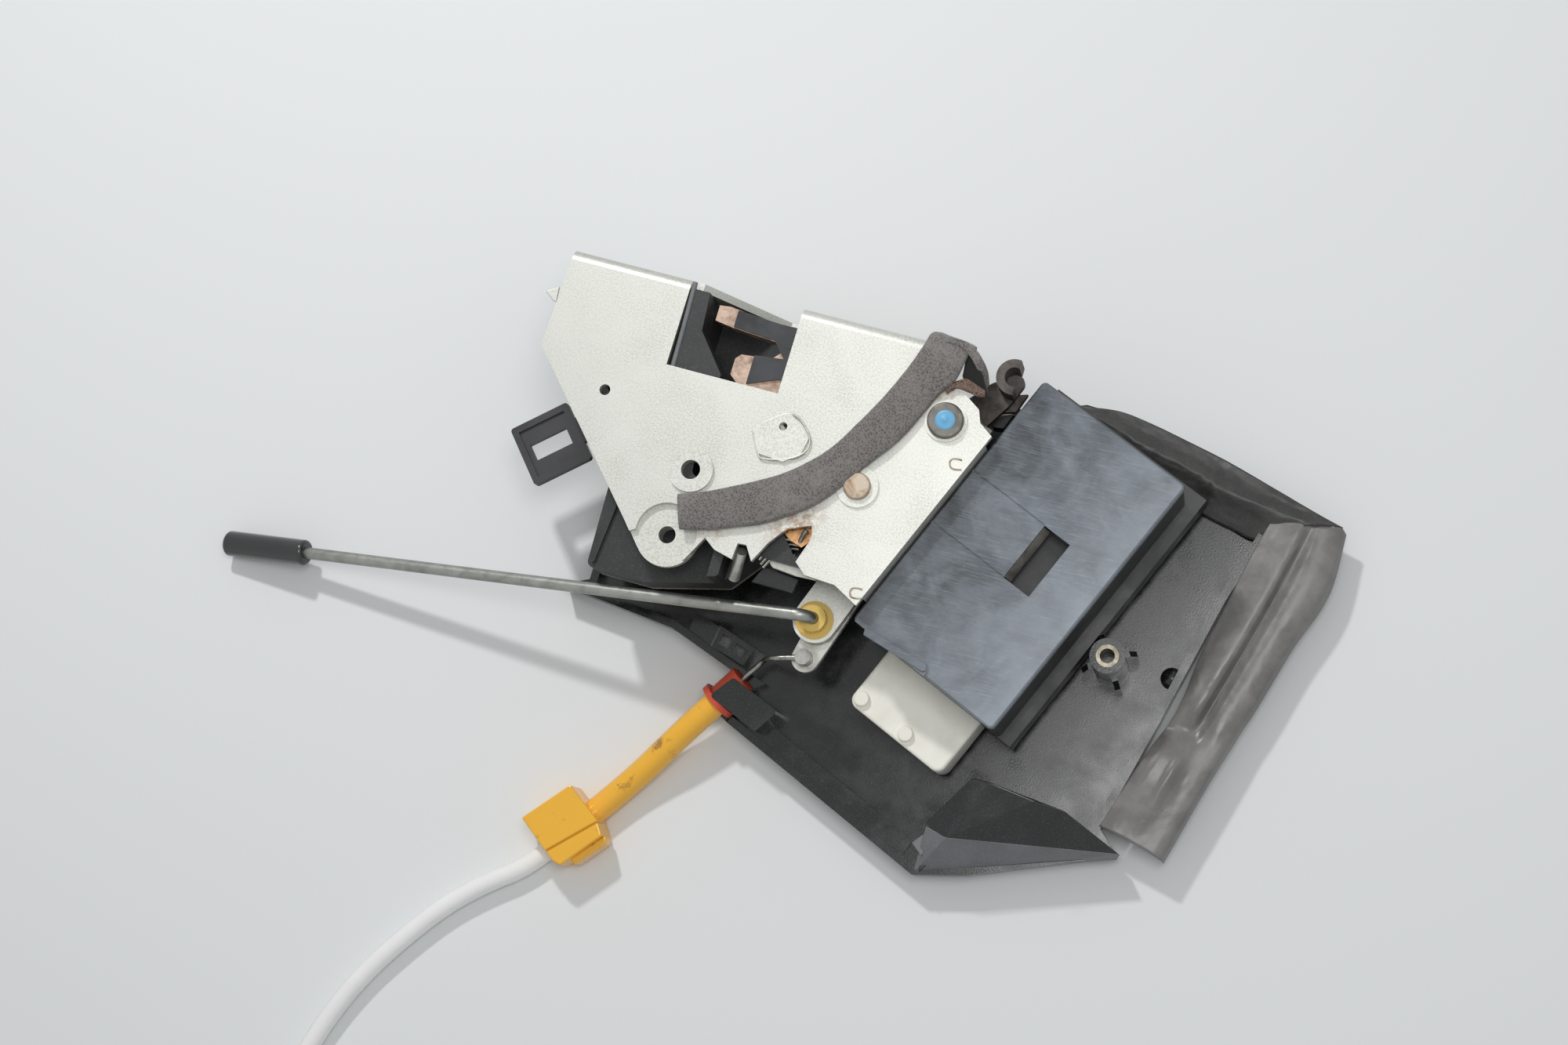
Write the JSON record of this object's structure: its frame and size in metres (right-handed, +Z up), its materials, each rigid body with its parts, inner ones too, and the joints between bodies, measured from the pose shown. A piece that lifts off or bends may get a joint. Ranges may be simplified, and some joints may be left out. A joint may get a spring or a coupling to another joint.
{
  "type": "door latch actuator",
  "caption": "Vehicle door latch with a folded zinc face plate, striker slot, fork and pawl, foam seal, geared lock actuator box on a splash tray, connector, lock rod and sleeved release cable.",
  "frame": {"origin": "middle of the footprint without the cable, on the surface the unit lies on", "axes": "+X along the folded edge of the face plate, away from the lock rod's end; +Y towards the mouth of the striker slot; +Z up, out of the face plate"},
  "size_m": [0.3308, 0.3691, 0.055],
  "materials": {
    "zinc_sheet": "blue-white zinc plated steel sheet, passivated, light stain",
    "plated_steel": "zinc plated steel, worn",
    "dark_steel": "black phosphated steel, a little rusty",
    "bare_steel": "bare spring steel",
    "latch_steel": "hardened steel with a copper coloured wear film",
    "black_moulding": "black glass-filled polyamide",
    "jacket": "black over-moulded jacket",
    "foam": "dark grey closed-cell foam",
    "window_clip": "black polyamide clip",
    "charcoal": "charcoal grained polypropylene",
    "warm_grey": "soft warm grey flexible skirt",
    "film": "thin grey film wall",
    "cover": "polished blue-grey moulded cover",
    "box": "dark grey moulded case",
    "ivory": "ivory connector moulding",
    "brass": "drawn brass",
    "gear": "natural acetal gear",
    "worm": "machined brass worm",
    "motor": "drawn steel motor can",
    "rod": "zinc plated rod",
    "rod_sleeve": "glossy black tube",
    "bushing": "amber nylon bushing",
    "yellow": "yellow moulded sleeve",
    "red": "red moulded ferrule",
    "conduit": "white plastic cable conduit",
    "rivet": "steel rivet with a rusty bloom"
  },
  "bodies": {
    "frame": {"latch_plate": "zinc_sheet", "latch_back_plate": "plated_steel", "latch_housing": "black_moulding", "slot_liner": "black_moulding", "claw_pivot_pin": "plated_steel", "pawl_pivot_pin": "rivet", "release_pivot_rivet": "plated_steel", "lock_pivot_pin": "plated_steel", "claw_spring": "bare_steel", "pawl_spring": "bare_steel", "spring_post": "plated_steel", "stop_pin": "brass", "foam_seal": "foam", "trim_clip": "window_clip", "splash_tray": "charcoal", "boss_insert": "brass", "tray_gusset": "charcoal", "side_apron": "warm_grey", "back_wall": "film", "actuator_housing": "box", "actuator_cover": "cover", "dc_motor": "motor", "position_switches": "box", "connector_block": "ivory", "connector_studs": "bare_steel", "carrier_screws": "plated_steel", "cable_ferrule": "red", "cable_sleeve": "yellow", "cable_clip": "yellow", "cable_conduit": "conduit", "cable_coil": "conduit", "cable_end_fitting": "plated_steel"},
    "claw": {"claw": "latch_steel", "claw_jacket": "jacket"},
    "pawl": {"pawl": "latch_steel", "pawl_jacket": "jacket"},
    "outside_lever": {"outside_release_lever": "dark_steel"},
    "inside_lever": {"inside_release_lever": "plated_steel"},
    "cable_core": {"cable_core": "bare_steel"},
    "lock_lever": {"lock_lever": "zinc_sheet", "rod_bushing": "bushing"},
    "lock_rod": {"lock_rod": "rod", "rod_sleeve": "rod_sleeve"},
    "worm": {"motor_worm": "worm"},
    "worm_wheel": {"worm_wheel": "gear"}
  },
  "joints": [
    {"name": "inside_release", "type": "hinge", "parent": "frame", "child": "inside_lever", "pos_m": [0.03624, 0.01208, 0.0274], "axis": [0, 0, 1], "range_deg": [-7.5, 0]},
    {"name": "outside_release", "type": "hinge", "parent": "frame", "child": "outside_lever", "pos_m": [0.05034, 0.04988, 0.0358], "axis": [0, 0, 1], "range_deg": [0, 21]},
    {"name": "pawl_lift", "type": "hinge", "parent": "frame", "child": "pawl", "pos_m": [0.03154, 0.02538, 0.0449], "axis": [0, 0, 1], "range_deg": [-16, 0]},
    {"name": "claw_swing", "type": "hinge", "parent": "frame", "child": "claw", "pos_m": [0.00374, 0.03408, 0.0449], "axis": [0, 0, 1], "range_deg": [-20, 0]},
    {"name": "cable_pull", "type": "slide", "parent": "frame", "child": "cable_core", "axis": [-0.5548, -0.8241, -0.1142], "range_m": [0, 0.0042]},
    {"name": "wheel_turn", "type": "hinge", "parent": "frame", "child": "worm_wheel", "pos_m": [0.06313, 0.00094, 0.027], "axis": [0, 0, 1], "range_deg": [-28, 0]},
    {"name": "lock_swing", "type": "hinge", "parent": "frame", "child": "lock_lever", "pos_m": [0.03624, 0.01208, 0.0316], "axis": [0, 0, 1], "range_deg": [0, 12.5]},
    {"name": "rod_swing", "type": "hinge", "parent": "lock_lever", "child": "lock_rod", "pos_m": [0.02714, -0.01242, 0.0316], "axis": [0, 0, 1], "range_deg": [-12.5, 0]},
    {"name": "worm_turn", "type": "hinge", "parent": "frame", "child": "worm", "pos_m": [0.07962, -0.00589, 0.027], "axis": [0.3827, 0.9239, 0], "range_deg": [0, 1008]}
  ],
  "couplings": [
    {"joint": "outside_release", "follows": "inside_release", "ratio": -2.8},
    {"joint": "pawl_lift", "follows": "inside_release", "ratio": 2.1333},
    {"joint": "claw_swing", "follows": "inside_release", "ratio": 2.6667},
    {"joint": "cable_pull", "follows": "inside_release", "m_per_rad": -0.032086},
    {"joint": "lock_swing", "follows": "wheel_turn", "ratio": -0.44643},
    {"joint": "rod_swing", "follows": "wheel_turn", "ratio": 0.44643},
    {"joint": "worm_turn", "follows": "wheel_turn", "ratio": -36}
  ]
}
